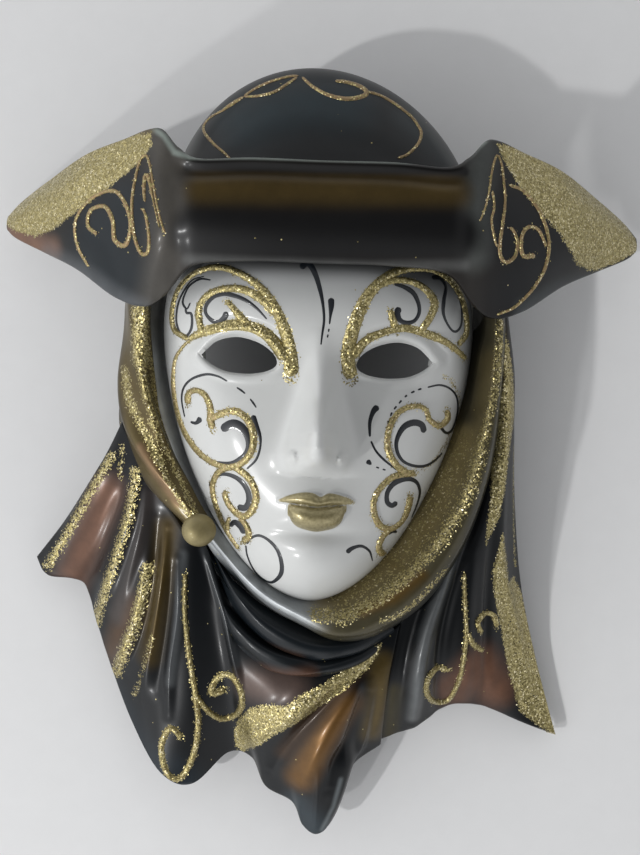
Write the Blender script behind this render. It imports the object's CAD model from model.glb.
# Painted ceramic wall mask: volto face, tricorn hat, scarf, collar and pleated drapes.
import math
import bpy
import numpy as np
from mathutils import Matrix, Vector
from mathutils.bvhtree import BVHTree


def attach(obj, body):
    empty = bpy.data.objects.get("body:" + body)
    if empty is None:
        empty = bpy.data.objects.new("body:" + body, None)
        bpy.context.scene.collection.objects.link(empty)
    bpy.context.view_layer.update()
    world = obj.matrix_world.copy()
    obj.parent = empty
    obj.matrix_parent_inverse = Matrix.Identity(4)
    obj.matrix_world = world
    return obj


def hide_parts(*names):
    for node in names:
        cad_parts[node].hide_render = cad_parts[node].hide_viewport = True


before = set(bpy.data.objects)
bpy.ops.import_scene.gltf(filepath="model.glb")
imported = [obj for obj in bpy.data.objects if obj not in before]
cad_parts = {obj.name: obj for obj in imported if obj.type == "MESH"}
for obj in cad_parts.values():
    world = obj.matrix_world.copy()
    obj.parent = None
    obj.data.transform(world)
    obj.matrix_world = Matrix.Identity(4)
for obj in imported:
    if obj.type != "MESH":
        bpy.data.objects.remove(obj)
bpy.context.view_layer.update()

fine = 1.0
mm = 0.001
noise = np.random.RandomState(11)

# small tools

def linearColour(hexCode):
    channels = [int(hexCode[i:i + 2], 16) / 255 for i in (1, 3, 5)]
    return np.array([c / 12.92 if c <= 0.04045 else ((c + 0.055) / 1.055) ** 2.4 for c in channels])


def bell(t):
    return np.exp(-t * t)


def easeBetween(low, high, at):
    share = np.clip((at - low) / (high - low), 0, 1)
    return share * share * (3 - 2 * share)


def alongSpline(points, t):
    # places on a Catmull-Rom spline through points, which may be whole rows
    points = np.asarray(points, float)
    count = len(points)
    padded = np.concatenate([[2 * points[0] - points[1]], points, [2 * points[-1] - points[-2]]])
    at = np.clip(t, 0, 1) * (count - 1)
    start = np.minimum(at.astype(int), count - 2)
    w = at - start
    weights = (-w + 2 * w**2 - w**3, 2 - 5 * w**2 + 3 * w**3, w + 4 * w**2 - 3 * w**3, w**3 - w**2)
    shape = (-1,) + (1,) * (points.ndim - 1)
    return sum(0.5 * weights[k].reshape(shape) * padded[start + k] for k in range(4))


def evenSpline(points, gap):
    # places about a gap apart along a spline
    rough = alongSpline(points, np.linspace(0, 1, 30 * len(points)))
    walked = np.concatenate([[0], np.cumsum(np.linalg.norm(np.diff(rough, axis=0), axis=1))])
    steps = max(6, int(walked[-1] / gap))
    even = np.linspace(0, walked[-1], steps + 1)
    return np.stack([np.interp(even, walked, rough[:, k]) for k in range(rough.shape[1])], 1)


def smoothProfile(pairs, at):
    # a smooth curve through (place, value) pairs
    places, values = np.array(pairs, float).T
    if places[0] > places[-1]:
        places, values = places[::-1], values[::-1]
    slopes = np.gradient(values, places)
    k = np.clip(np.searchsorted(places, at) - 1, 0, len(places) - 2)
    span = places[k + 1] - places[k]
    t = np.clip((at - places[k]) / span, 0, 1)
    rise = 3 * t**2 - 2 * t**3
    start = (t**3 - 2 * t**2 + t) * span * slopes[k]
    end = (t**3 - t**2) * span * slopes[k + 1]
    return values[k] * (1 - rise) + values[k + 1] * rise + start + end


def distanceTo(path, x, z):
    # distance to a path, and how far along the path the nearest place is
    ends = np.array(path, float)
    lengths = np.linalg.norm(np.diff(ends, axis=0), axis=1)
    best = np.full(np.shape(x), 1e9)
    along = np.zeros(np.shape(x))
    run = 0
    for (ax, az), (bx, bz), length in zip(ends[:-1], ends[1:], lengths):
        share = np.clip(((x - ax) * (bx - ax) + (z - az) * (bz - az)) / max(length**2, 1e-9), 0, 1)
        gap = np.hypot(x - ax - share * (bx - ax), z - az - share * (bz - az))
        near = gap < best
        best = np.where(near, gap, best)
        along = np.where(near, (run + share * length) / max(lengths.sum(), 1e-9), along)
        run += length
    return best, along


def ridgeRelief(ridges, x, z):
    # folds laid along paths: height, half width, path; a negative height is a valley
    height = np.zeros_like(x)
    for rise, half, path in ridges:
        gap, along = distanceTo(evenSpline(path, 2), x, z)
        height += rise * bell(gap / half) * np.sin(math.pi * np.clip(along, 0.02, 0.98))**0.5
    return height


def inside(outline, x, z):
    # whether each place is inside a closed outline
    odd = np.zeros(np.shape(x), bool)
    for (ax, az), (bx, bz) in zip(outline, np.roll(outline, -1, axis=0)):
        crosses = (az > z) != (bz > z)
        odd ^= crosses & (x < (bx - ax) * (z - az) / (bz - az + 1e-12) + ax)
    return odd


# making pieces from grids

def facing(points):
    across = np.gradient(points, axis=1)
    down = np.gradient(points, axis=0)
    normal = np.cross(down, across)
    return normal / np.maximum(np.linalg.norm(normal, axis=2, keepdims=True), 1e-9)


def deselectAll():
    bpy.ops.object.select_all(action="DESELECT")


def netSurface(rows):
    rows = np.array(rows, float)
    rows = np.stack([rows[..., 0], -rows[..., 2], rows[..., 1]], -1)   # (x, z, depth) to a place

    def surface(u, v):
        columns = alongSpline(rows.transpose(1, 0, 2), u)
        return alongSpline(columns.transpose(1, 0, 2), v)
    return surface


def edgeDistance(points):
    # how far each grid point is from the nearest edge of its sheet
    def walked(axis):
        gaps = np.linalg.norm(np.diff(points, axis=axis), axis=2)
        start = np.zeros_like(points[..., 0])
        sums = np.cumsum(gaps, axis=axis)
        if axis == 1:
            start[:, 1:] = sums
            return np.minimum(start, start[:, -1:] - start)
        start[1:, :] = sums
        return np.minimum(start, start[-1:, :] - start)
    return np.minimum(walked(0), walked(1))


def gridObject(name, points):
    # a grid primitive whose points are moved to their places; rows run from the top down
    down, across = points.shape[0] - 1, points.shape[1] - 1
    deselectAll()
    bpy.ops.mesh.primitive_grid_add(x_subdivisions=across, y_subdivisions=down, size=1)
    piece = bpy.context.object
    piece.name = name
    piece.data.name = name
    piece.data.vertices.foreach_set("co", (points[::-1].reshape(-1, 3) * mm).ravel())
    piece.data.update()
    return piece


def giveAttribute(piece, name, values):
    # one value or colour for each grid point
    flat = values[::-1].reshape(-1, *values.shape[2:])
    if flat.ndim == 1:
        layer = piece.data.attributes.new(name, "FLOAT", "POINT")
        layer.data.foreach_set("value", flat.astype(np.float32))
        return
    layer = piece.data.attributes.new(name, "FLOAT_COLOR", "POINT")
    full = np.concatenate([flat, np.ones((len(flat), 1))], 1)
    layer.data.foreach_set("color", full.astype(np.float32).ravel())


def deleteFaces(piece, marked):
    deselectAll()
    piece.select_set(True)
    bpy.context.view_layer.objects.active = piece
    bpy.context.tool_settings.mesh_select_mode = (False, False, True)
    bpy.ops.object.mode_set(mode="EDIT")
    bpy.ops.mesh.select_all(action="DESELECT")
    bpy.ops.object.mode_set(mode="OBJECT")
    piece.data.polygons.foreach_set("select", marked[::-1].ravel())
    bpy.ops.object.mode_set(mode="EDIT")
    bpy.ops.mesh.delete(type="FACE")
    bpy.ops.object.mode_set(mode="OBJECT")


def castWall(piece, wall, outer, inner):
    # gives the sheet its cast thickness, with a plain inner face
    piece.data.materials.append(outer)
    piece.data.materials.append(inner)
    solidify = piece.modifiers.new("castWall", "SOLIDIFY")
    solidify.thickness = wall * mm
    solidify.offset = -1
    solidify.material_offset = 1
    solidify.material_offset_rim = 0
    deselectAll()
    piece.select_set(True)
    bpy.context.view_layer.objects.active = piece
    bpy.ops.object.modifier_apply(modifier=solidify.name)
    bpy.ops.object.shade_smooth_by_angle(angle=math.radians(50))


def shapedSheet(name, surface, steps, relief=None, rounding=1.4):
    # the front of a sheet with its folds raised and its edges rolled back
    across, down = (int(n * fine) for n in steps)
    u, v = np.linspace(0, 1, across + 1), np.linspace(0, 1, down + 1)
    points = surface(u, v)
    normals = facing(points)
    uu, vv = np.meshgrid(u, v)
    height = relief(uu, vv, points) if relief else np.zeros_like(uu)
    nearEdge = np.clip(1 - edgeDistance(points) / max(rounding, 1e-6), 0, 1)
    height = height - rounding * (1 - np.sqrt(1 - nearEdge**2))
    return points + normals * height[..., None], uu, vv


# painting

def airbrush(points, base, passes):
    # lays soft passes of colour over a base: colour, strength, half width, softness, path
    x, z = points[..., 0], points[..., 2]
    colour = np.ones(x.shape + (3,)) * linearColour(base[0])
    lustre = np.full(x.shape, float(base[1]))
    for hexCode, metal, strength, reach, soft, path in passes:
        gap, _ = distanceTo(path, x, z)
        amount = strength * (1 - easeBetween(reach - soft, reach + soft, gap))
        colour = colour + (linearColour(hexCode) - colour) * amount[..., None]
        lustre = lustre + (metal - lustre) * amount
    return colour, lustre


def scatter(points, passes):
    # how thick the loose glitter lies: coverage, half width, softness, path
    x, z = points[..., 0], points[..., 2]
    cover = np.zeros_like(x)
    for strength, reach, soft, path in passes:
        gap, _ = distanceTo(path, x, z)
        cover = np.maximum(cover, strength * (1 - easeBetween(reach - soft, reach + soft, gap)))
    return cover


def areaCover(outline, x, z, soft):
    outline = np.array(outline, float)
    gap, _ = distanceTo(np.vstack([outline, outline[:1]]), x, z)
    return easeBetween(-soft, soft, np.where(inside(outline, x, z), gap, -gap))


def paintSheet(piece, points, base, passes, glitterPasses, extra=None):
    colour, lustre = airbrush(points, base, passes)
    cover = scatter(points, glitterPasses)
    if extra is not None:
        cover = np.maximum(cover, extra)
    giveAttribute(piece, "paint", colour)
    giveAttribute(piece, "lustre", lustre)
    giveAttribute(piece, "glitter", cover)


# materials

finishes = {
    "flake": 0.5,          # mm across one flake of craft glitter
    "flakeTones": [(0.0, "#746a44"), (0.3, "#8b8055"), (0.6, "#a79b6b"), (0.88, "#c6b985"), (1.0, "#fff3cc")],
    "flakeTilt": 0.7,
    "dust": 2.6,            # mm between stray specks
    "mottle": 7.0,          # mm across the clouds of an airbrushed coat
    "peel": 1.6,            # mm across the ripples of a brushed glaze
}


def addNode(tree, kind, settings=None, links=None):
    node = tree.nodes.new(kind)
    for key, value in (settings or {}).items():
        if isinstance(key, int) or key in node.inputs:
            node.inputs[key].default_value = value
        else:
            setattr(node, key, value)
    for key, source in (links or {}).items():
        tree.links.new(source, node.inputs[key])
    return node


def newMaterial(name, settings):
    material = bpy.data.materials.new(name)
    material.use_nodes = True
    tree = material.node_tree
    shader = tree.nodes["Principled BSDF"]
    for key, value in settings.items():
        shader.inputs[key].default_value = value
    return material, tree, shader


def paintedGlaze(name, gloss, coat, mottling, dusting):
    # coats of airbrushed paint over glaze: soft clouds of tone, brushed ripples, stray flakes and glitter
    settings = {"Coat Weight": coat, "Coat Roughness": 0.16, "IOR": 1.5, "Specular IOR Level": 0.22}
    material, tree, shader = newMaterial(name, settings)
    place = addNode(tree, "ShaderNodeTexCoord").outputs["Object"]
    paint = addNode(tree, "ShaderNodeAttribute", {"attribute_name": "paint"}).outputs["Color"]
    lustre = addNode(tree, "ShaderNodeAttribute", {"attribute_name": "lustre"}).outputs["Fac"]
    cover = addNode(tree, "ShaderNodeAttribute", {"attribute_name": "glitter"}).outputs["Fac"]

    clouds = addNode(tree, "ShaderNodeTexNoise", {"Scale": 1000 / finishes["mottle"], "Detail": 6.0,
                     "Roughness": 0.62}, {"Vector": place})
    shade = addNode(tree, "ShaderNodeMapRange", {"From Min": 0.3, "From Max": 0.7, "To Min": 1 - mottling,
                    "To Max": 1 + mottling}, {"Value": clouds.outputs["Fac"]})
    toned = addNode(tree, "ShaderNodeVectorMath", {"operation": "SCALE"},
                    {0: paint, "Scale": shade.outputs["Result"]})

    flakes = addNode(tree, "ShaderNodeTexVoronoi", {"Scale": 1000 / finishes["flake"]}, {"Vector": place})
    split = addNode(tree, "ShaderNodeSeparateColor", None, {"Color": flakes.outputs["Color"]})
    stuck = addNode(tree, "ShaderNodeMath", {"operation": "GREATER_THAN"},
                    {0: cover, 1: split.outputs["Red"]})
    specks = addNode(tree, "ShaderNodeTexVoronoi", {"Scale": 1000 / finishes["dust"]}, {"Vector": place})
    speckSplit = addNode(tree, "ShaderNodeSeparateColor", None, {"Color": specks.outputs["Color"]})
    tiny = addNode(tree, "ShaderNodeMath", {"operation": "LESS_THAN", 1: 0.11},
                   {0: specks.outputs["Distance"]})
    rare = addNode(tree, "ShaderNodeMath", {"operation": "LESS_THAN", 1: dusting},
                   {0: speckSplit.outputs["Green"]})
    stray = addNode(tree, "ShaderNodeMath", {"operation": "MULTIPLY"},
                    {0: tiny.outputs[0], 1: rare.outputs[0]})
    isFlake = addNode(tree, "ShaderNodeMath", {"operation": "MAXIMUM"},
                      {0: stuck.outputs[0], 1: stray.outputs[0]}).outputs[0]

    tones = addNode(tree, "ShaderNodeValToRGB", None, {"Fac": split.outputs["Green"]})
    ramp = tones.color_ramp
    for k, (at, hexCode) in enumerate(finishes["flakeTones"]):
        stop = ramp.elements[0] if k == 0 else (ramp.elements[-1] if at == 1.0 else ramp.elements.new(at))
        stop.position = at
        stop.color = (*linearColour(hexCode), 1)

    colour = addNode(tree, "ShaderNodeMix", {"data_type": "RGBA"},
                     {0: isFlake, 6: toned.outputs[0], 7: tones.outputs["Color"]})
    metal = addNode(tree, "ShaderNodeMix", {3: 0.75}, {0: isFlake, 2: lustre})
    rough = addNode(tree, "ShaderNodeMix", {2: gloss, 3: 0.34}, {0: isFlake})

    ripples = addNode(tree, "ShaderNodeTexNoise", {"Scale": 1000 / finishes["peel"], "Detail": 3.0},
                      {"Vector": place})
    bump = addNode(tree, "ShaderNodeBump", {"Strength": 0.25, "Distance": 0.00004},
                   {"Height": ripples.outputs["Fac"]})
    normal = addNode(tree, "ShaderNodeNewGeometry").outputs["Normal"]
    centred = addNode(tree, "ShaderNodeVectorMath", {"operation": "SUBTRACT", 1: (0.5, 0.5, 0.5)},
                      {0: flakes.outputs["Color"]})
    tilted = addNode(tree, "ShaderNodeVectorMath", {"operation": "MULTIPLY_ADD",
                     1: (finishes["flakeTilt"],) * 3}, {0: centred.outputs[0], 2: normal})
    unit = addNode(tree, "ShaderNodeVectorMath", {"operation": "NORMALIZE"}, {0: tilted.outputs[0]})
    lean = addNode(tree, "ShaderNodeMix", {"data_type": "VECTOR"},
                   {0: isFlake, 4: bump.outputs["Normal"], 5: unit.outputs[0]})
    tree.links.new(colour.outputs[2], shader.inputs["Base Color"])
    tree.links.new(metal.outputs[0], shader.inputs["Metallic"])
    tree.links.new(rough.outputs[0], shader.inputs["Roughness"])
    tree.links.new(lean.outputs[1], shader.inputs["Normal"])
    return material


def plainFinish(name, hexCode, roughness, coat=0.0, metal=0.0, grain=1.2, contrast=0.12, depth=0.05):
    # a plain fired or brushed surface with fine tone and grain
    settings = {"Roughness": roughness, "Coat Weight": coat, "Coat Roughness": 0.1, "Metallic": metal}
    material, tree, shader = newMaterial(name, settings)
    place = addNode(tree, "ShaderNodeTexCoord").outputs["Object"]
    cloud = addNode(tree, "ShaderNodeTexNoise", {"Scale": 1000 / (8 * grain), "Detail": 7.0,
                    "Roughness": 0.65}, {"Vector": place})
    tones = addNode(tree, "ShaderNodeValToRGB", None, {"Fac": cloud.outputs["Fac"]})
    base = linearColour(hexCode)
    tones.color_ramp.elements[0].position = 0.3
    tones.color_ramp.elements[1].position = 0.7
    tones.color_ramp.elements[0].color = (*(base * (1 - contrast)), 1)
    tones.color_ramp.elements[1].color = (*np.minimum(base * (1 + contrast), 1), 1)
    pits = addNode(tree, "ShaderNodeTexNoise", {"Scale": 1000 / grain, "Detail": 4.0}, {"Vector": place})
    bump = addNode(tree, "ShaderNodeBump", {"Strength": 0.5, "Distance": depth * mm},
                   {"Height": pits.outputs["Fac"]})
    tree.links.new(tones.outputs["Color"], shader.inputs["Base Color"])
    tree.links.new(bump.outputs["Normal"], shader.inputs["Normal"])
    return material


hatGlaze = paintedGlaze("airbrushedHatGlaze", 0.4, 0.12, 0.12, 0.06)
drapeGlaze = paintedGlaze("airbrushedDrapeGlaze", 0.34, 0.14, 0.16, 0.09)
faceGlaze = paintedGlaze("whiteFaceGlaze", 0.36, 0.5, 0.015, 0.004)
glueGlitter = paintedGlaze("glitterInGlue", 0.45, 0.1, 0.2, 0.5)
bareBisque = plainFinish("bareBisque", "#b9b2a4", 0.85, grain=0.8, contrast=0.08, depth=0.12)
darkInside = plainFinish("blackenedInside", "#0d1719", 0.7, grain=1.5)
brushEnamel = plainFinish("blackBrushEnamel", "#0b1118", 0.45, coat=0.15, grain=0.9, contrast=0.3, depth=0.02)
giltPaint = plainFinish("oliveGiltPaint", "#857a55", 0.5, coat=0.1, metal=0.5, grain=0.5, contrast=0.16)
print("materials ready")

# camera, wall and light

stageSettings = {
    "camera": (0.002, -0.490, -0.124),
    "roll": -2.0,
    "lens": 50,
    "lamps": {      # the way each lamp stands from the mask, its watts and its width in metres
        "keyLight": ((-0.654, -0.664, -0.363), 6.4, 0.05),
        "lowLight": ((-0.528, -0.570, -0.629), 3.4, 0.06),
    },
    "middle": (0.0, -0.03, -0.13),
    "distance": 1.5,
    "room": [(0.06, 0.12), (0.17, 0.6), (0.33, 1.2), (0.5, 1.2), (0.56, 0.35), (1.0, 0.3)],
    "leftShare": 1.4,
}


def setStage(s):
    camera = bpy.data.objects.new("camera", bpy.data.cameras.new("camera"))
    bpy.context.collection.objects.link(camera)
    camera.location = s["camera"]
    camera.rotation_euler = (math.radians(90), math.radians(s["roll"]), 0)
    camera.data.lens = s["lens"]
    camera.data.sensor_width = 36
    camera.data.clip_start = 0.01
    bpy.context.scene.camera = camera

    deselectAll()
    bpy.ops.mesh.primitive_plane_add(size=3, location=(0, 0.0012, -0.12), rotation=(math.radians(90), 0, 0))
    wall = bpy.context.object
    wall.name = "wall"
    wall.data.materials.append(wallPlaster())

    for name, (way, power, size) in s["lamps"].items():
        lamp = bpy.data.objects.new(name, bpy.data.lights.new(name, "AREA"))
        bpy.context.collection.objects.link(lamp)
        lamp.data.energy = power
        lamp.data.size = size
        direction = Vector(way).normalized()
        lamp.location = Vector(s["middle"]) + direction * s["distance"]
        lamp.rotation_euler = direction.to_track_quat("Z", "Y").to_euler()
    world = bpy.data.worlds.new("room")
    bpy.context.scene.world = world
    world.use_nodes = True
    roomLight(world.node_tree, s)
    bpy.context.scene.view_settings.view_transform = "Standard"


def roomLight(tree, s):
    # a room that is bright at the sides, most of all on the left, and dark straight in front of the wall
    place = addNode(tree, "ShaderNodeTexCoord").outputs["Generated"]
    apart = addNode(tree, "ShaderNodeSeparateXYZ", None, {0: place})
    behind = addNode(tree, "ShaderNodeMapRange", {"From Min": -1.0, "From Max": 1.0},
                     {"Value": apart.outputs["Y"]})
    tones = addNode(tree, "ShaderNodeValToRGB", None, {"Fac": behind.outputs["Result"]})
    ramp = tones.color_ramp
    for k, (at, level) in enumerate(s["room"]):
        stop = ramp.elements[k] if k < 2 else ramp.elements.new(at)
        stop.position = at
        stop.color = (level, level * 1.01, level * 1.03, 1)
    left = addNode(tree, "ShaderNodeMapRange", {"From Min": -1.0, "From Max": 1.0, "To Min": s["leftShare"],
                   "To Max": 2 - s["leftShare"]}, {"Value": apart.outputs["X"]})
    tree.links.new(tones.outputs["Color"], tree.nodes["Background"].inputs["Color"])
    tree.links.new(left.outputs["Result"], tree.nodes["Background"].inputs["Strength"])


def wallPlaster():
    # pale plaster that is only there from the room's side
    material = plainFinish("wallPlaster", "#e7e7e7", 0.8, grain=1.5, contrast=0.012, depth=0.05)
    tree = material.node_tree
    shader = tree.nodes["Principled BSDF"]
    away = addNode(tree, "ShaderNodeNewGeometry").outputs["Backfacing"]
    clear = addNode(tree, "ShaderNodeBsdfTransparent")
    mixed = addNode(tree, "ShaderNodeMixShader", None,
                    {0: away, 1: shader.outputs[0], 2: clear.outputs[0]})
    tree.links.new(mixed.outputs[0], tree.nodes["Material Output"].inputs["Surface"])
    return material


setStage(stageSettings)
print("stage ready")


def claim(piece, slot, *nodes):
    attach(piece, "root")
    if nodes:
        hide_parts(*nodes)


def frontOf(*pieces):
    # finds the front of finished pieces at places (x, z), in mm
    trees = [BVHTree.FromPolygons([v.co for v in p.data.vertices], [f.vertices for f in p.data.polygons])
             for p in pieces]

    def find(x, z):
        hits = [tree.ray_cast(Vector((x * mm, -0.2, z * mm)), Vector((0, 1, 0))) for tree in trees]
        hits = [h for h in hits if h[0] is not None]
        if not hits:
            return None
        place, normal, _, _ = min(hits, key=lambda h: h[0].y)
        return np.array(place) / mm, np.array(normal)
    return find


# the face

face = {
    "egg": {"halfWidth": 60, "top": -60, "widest": -85, "chin": -190, "roundness": 1.75},
    "steps": (210, 220),
    "wall": 4.0, "underGlue": 0.45, "spill": 0.6,
    "axis": 1.5,
    "midline": [(-60, 62), (-78, 66), (-98, 63.5), (-120, 62), (-150, 66), (-172, 66), (-190, 62)],
    "noseLine": [(-88, 0), (-98, 0.1), (-112, 0.4), (-131, 1), (-137, 0.72), (-142, 0)],
    "noseWidth": [(-95, 4.5), (-125, 7), (-134, 8.5)],
    "noseRise": 27.5,
    "eyeX": 28.7, "eyeZ": -98.7, "eyeWidth": 28.2, "eyeHeight": 13.2,
    "lidRise": 1.3,
    # height, place across and half width, place up and half height
    "eyeHollow": (-5, 27, 17, -98, 11), "cheek": (2.5, 33, 15, -126, 16),
    "chin": (5, 0, 17, -173, 12), "chinGroove": (-2, 0, 14, -163, 3),
    "mouthX": 1.8, "mouthHalf": 14.5,
}


def eggRadius(x, z):
    egg = face["egg"]
    n = egg["roundness"]
    rise = np.clip((z - egg["widest"]) / (egg["top"] - egg["widest"]), 0, 1.2)
    upper = np.abs(x) / (egg["halfWidth"] - 4 * rise * rise)
    low = np.clip((egg["widest"] - z) / (egg["widest"] - egg["chin"]), 0, 2)
    lower = ((np.abs(x) / egg["halfWidth"])**n + low**n)**(1 / n)
    return np.minimum(1, np.where(z >= egg["widest"], upper, lower))


def eyeOutline(side):
    rim = [(1, 0), (0.6, 0.74), (0.12, 1), (-0.3, 0.88), (-0.66, 0.56), (-0.94, 0.05), (-1, -0.48),
           (-0.74, -0.84), (-0.26, -1), (0.32, -0.88), (0.74, -0.48), (1, 0)]
    points = [(side * (face["eyeX"] + a * face["eyeWidth"] / 2), face["eyeZ"] + b * face["eyeHeight"] / 2)
              for a, b in rim]
    return alongSpline(points, np.linspace(0, 1, 90))[:-1]


def mouthParts(x, z):
    # shares across the upper and the lower lip, from 0 at the parting to 1 at the lip's edge
    side = (x - face["mouthX"]) / face["mouthHalf"]
    wide = np.clip(1 - side**2, 0, 1)
    parting = -152.4 + 0.9 * np.abs(side)**1.5 - 0.5 * bell(side / 0.2)
    bow = 5.3 * wide**0.75 - 1.3 * bell((side - 0.1) / 0.12)
    full = 9.3 * np.clip(1 - np.abs(side / 0.72)**3.6, 0, 1)**0.4
    upper = (z - parting) / np.maximum(bow, 0.01)
    lower = (parting - z) / np.maximum(full, 0.01)
    return side, upper, lower, bow, full


def swell(kind, across, z):
    height, middle, half, level, tall = face[kind]
    return height * bell((across - middle) / half) * bell((z - level) / tall)


def faceDepth(x, z):
    f = face
    edge = 29 + 9 * easeBetween(140, 190, -z)
    dome = (1 - eggRadius(x, z)**2.6)**0.62
    depth = edge + (smoothProfile(f["midline"], z) - edge) * dome
    side = x - f["axis"]
    nose = bell(side / smoothProfile(f["noseWidth"], z)) * np.clip(smoothProfile(f["noseLine"], z), 0, 1)
    wings = bell((np.abs(side) - 7.8) / 3.0) * bell((z + 134.5) / 4.0)
    depth += f["noseRise"] * np.maximum(nose, 0.5 * wings)
    depth += swell("eyeHollow", np.abs(x), z) * dome + swell("cheek", np.abs(x), z)
    depth += swell("chin", side, z) + swell("chinGroove", side, z)
    _, upper, lower, bow, full = mouthParts(x, z)
    inUpper = (upper > 0) & (upper < 1)
    inLower = (lower > 0) & (lower < 1)
    roll = np.where(inUpper, 2.6 * np.sin(np.pi * np.clip(upper, 0, 1))**0.7 * np.clip(bow / 5, 0, 1), 0)
    roll += np.where(inLower, 3.6 * np.sin(np.pi * np.clip(lower, 0, 1))**0.65 * np.clip(full / 9, 0, 1), 0)
    depth += 2.4 * bell(side / 13) * bell((z + 153.5) / 7) + roll
    for way in (-1, 1):
        outline = eyeOutline(way)
        gap, _ = distanceTo(np.vstack([outline, outline[:1]]), x, z)
        above = z > f["eyeZ"]
        lid = f["lidRise"] * bell((gap - 2.0) / 1.7) * np.where(above, 1.0, 0.7)
        crease = 0.55 * bell((gap - 5.6) / 1.1) * easeBetween(-2, 3, z - f["eyeZ"])
        rim = 0.9 * np.clip(1 - gap / 1.1, 0, 1)**2
        depth += np.where(inside(outline, x, z), 0, lid - crease - rim)
    return depth


def faceSurface(u, v):
    egg = face["egg"]
    angle = math.pi * u
    n = 2 / egg["roundness"]
    lowX = -np.sign(np.cos(angle)) * egg["halfWidth"] * np.abs(np.cos(angle))**n
    lowZ = egg["widest"] - (egg["widest"] - egg["chin"]) * np.abs(np.sin(angle))**n
    topX = -(egg["halfWidth"] - 4) * np.cos(angle)
    x = topX[None] + (lowX - topX)[None] * v[:, None]
    z = egg["top"] + (lowZ[None] - egg["top"]) * v[:, None]
    return np.stack([x, -faceDepth(x, z), z], -1)


def openEyes(points):
    # marks the grid faces inside each eye and moves their border onto the eye's outline
    points = points.copy()
    centres = 0.25 * (points[1:, 1:] + points[:-1, 1:] + points[1:, :-1] + points[:-1, :-1])
    holes = np.zeros(centres.shape[:2], bool)
    for way in (-1, 1):
        outline = eyeOutline(way)
        hole = inside(outline, centres[..., 0], centres[..., 2])
        holes |= hole
        framed = np.pad(hole, 1)
        corners = np.stack([framed[1:, 1:], framed[:-1, 1:], framed[1:, :-1], framed[:-1, :-1]])
        border = corners.any(0) & ~corners.all(0)
        rim = alongSpline(np.vstack([outline, outline[:1]]), np.linspace(0, 1, 1500))
        for row, column in zip(*np.nonzero(border)):
            gaps = np.hypot(rim[:, 0] - points[row, column, 0], rim[:, 1] - points[row, column, 2])
            x, z = rim[gaps.argmin()]
            points[row, column] = (x, -float(faceDepth(np.array([x]), np.array([z]))[0]), z)
    return points, holes


# lines of glitter glue: widths from start to end, and the path
browLeftLines = [
    ((5.6, 4.4, 3, 2.4, 2, 1.8, 2.2), [(-9, -106), (-9.6, -98), (-12.5, -88), (-18, -78), (-26, -71),
     (-36, -67), (-45, -68), (-52, -73), (-55, -81), (-54, -89), (-48, -93)]),
    ((2, 3.6, 4, 4, 4.6, 4.4), [(-48, -93), (-43.4, -91), (-37.6, -89.2), (-31.1, -88), (-24.6, -88.4),
     (-19.1, -90.6), (-14.9, -94.7), (-11.5, -100.1)]),
    ((2.6, 2.6, 3.4), [(-42.5, -91.5), (-43.6, -86.5), (-43.9, -82.2), (-42, -78.4), (-38, -75.8),
     (-33, -74.9), (-28, -75.2), (-23.5, -77), (-19, -80), (-15, -84)]),
    ((1.8, 2.6, 3.6), [(-33.6, -79.4), (-32.2, -80.6), (-29.7, -83.3), (-27.4, -86), (-26, -88)]),
]
browRightLines = [
    ((5.4, 4.6, 3, 2.4, 2), [(12.5, -106), (11.2, -97), (13, -87), (17, -77), (24, -69), (33, -64.8),
     (43, -64.8), (50.5, -69.5), (54.8, -77), (56, -86), (52.5, -91.5)]),
    ((3.6, 2.6, 3, 2), [(13, -98), (17, -92.5), (22, -89.6), (31, -87), (40, -88.5), (48, -91),
     (56.5, -96)]),
    ((2.6, 2.2, 3.2, 2.4), [(19, -73.5), (27, -70), (36, -70.8), (42, -76), (41, -82), (37, -88)]),
    ((2, 3.2), [(25.7, -80.8), (27, -84.5), (28.6, -88)]),
]
cheekLeftLines = [
    ((2.8, 2, 2.6, 3), [(-47.6, -117), (-47.8, -113.6), (-45, -111.8), (-41, -113.4), (-38.6, -118),
     (-38.4, -122.5), (-37.4, -126)]),
    ((2.4, 2.8, 2.4, 2.2, 1.6, 1), [(-38.4, -122.5), (-35, -120.6), (-30.2, -119.1), (-25.5, -121),
     (-22.4, -126), (-22.2, -132), (-25, -137), (-30, -139.6), (-36, -139), (-43, -135), (-49, -128),
     (-52.5, -120), (-54.3, -110), (-53.6, -101), (-50.5, -96), (-47, -93)]),
    ((2.6, 2, 1.4), [(-29, -139.4), (-34, -141), (-37, -145), (-37.4, -150), (-35.4, -157), (-32, -164),
     (-27, -171)]),
    ((2.6, 2.8, 2.2), [(-29, -139.4), (-23.4, -143.4), (-20.6, -149.5), (-22, -155.4), (-25.6, -158),
     (-30, -155), (-32.5, -150.5), (-31.5, -149)]),
    ((2, 2.4, 3), [(-26.6, -158.4), (-23.9, -161.6), (-23.1, -165.5), (-25.6, -167.6)]),
    ((1.4, 1.6), [(-30.6, -158.6), (-31.6, -161.5), (-31.2, -164)]),
]
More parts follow.
